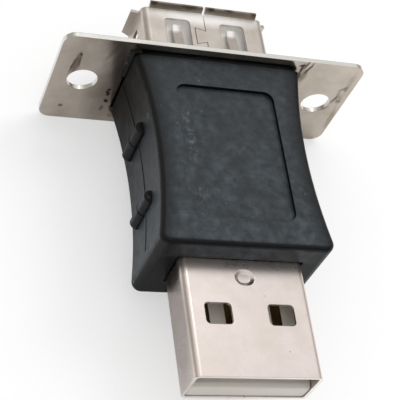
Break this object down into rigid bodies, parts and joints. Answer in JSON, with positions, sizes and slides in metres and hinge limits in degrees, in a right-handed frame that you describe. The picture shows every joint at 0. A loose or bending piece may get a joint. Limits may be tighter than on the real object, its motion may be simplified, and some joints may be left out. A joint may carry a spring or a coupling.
{
  "type": "usb-a panel mount adapter",
  "caption": "Black moulded adapter from a USB-A plug to a USB-A receptacle, with a flat metal flange and fixing holes that mount the receptacle in a panel cut-out.",
  "frame": {"origin": "midway between the two fixing holes, on the flange's panel side", "axes": "+X along the flange, +Y from the plug towards the receptacle, +Z through the thickness, towards the body's face with the recess"},
  "size_m": [0.0312, 0.0405, 0.0126],
  "materials": {
    "black_pvc": "matte black moulded PVC",
    "polyethylene": "milky polyethylene",
    "flange_nickel": "nickel-plated steel plate, lightly tarnished",
    "plug_nickel": "bright nickel-plated steel sheet",
    "plug_plastic": "cream moulded thermoplastic",
    "contact_gold": "gold-plated copper alloy",
    "receptacle_nickel": "bright nickel-plated steel sheet",
    "receptacle_plastic": "white moulded thermoplastic",
    "tinned_copper": "tinned copper wire"
  },
  "bodies": {
    "root": {"overmould_body": "black_pvc", "inner_mould": "polyethylene", "flange_plate": "flange_nickel", "plug_shell": "plug_nickel", "plug_insulator": "plug_plastic", "plug_contact_vbus": "contact_gold", "plug_contact_data_minus": "contact_gold", "plug_contact_data_plus": "contact_gold", "plug_contact_ground": "contact_gold", "receptacle_shell": "receptacle_nickel", "receptacle_insulator": "receptacle_plastic", "receptacle_contact_vbus": "contact_gold", "receptacle_contact_data_minus": "contact_gold", "receptacle_contact_data_plus": "contact_gold", "receptacle_contact_ground": "contact_gold", "link_wire_vbus": "tinned_copper", "link_wire_data_minus": "tinned_copper", "link_wire_data_plus": "tinned_copper", "link_wire_ground": "tinned_copper"}
  },
  "joints": []
}
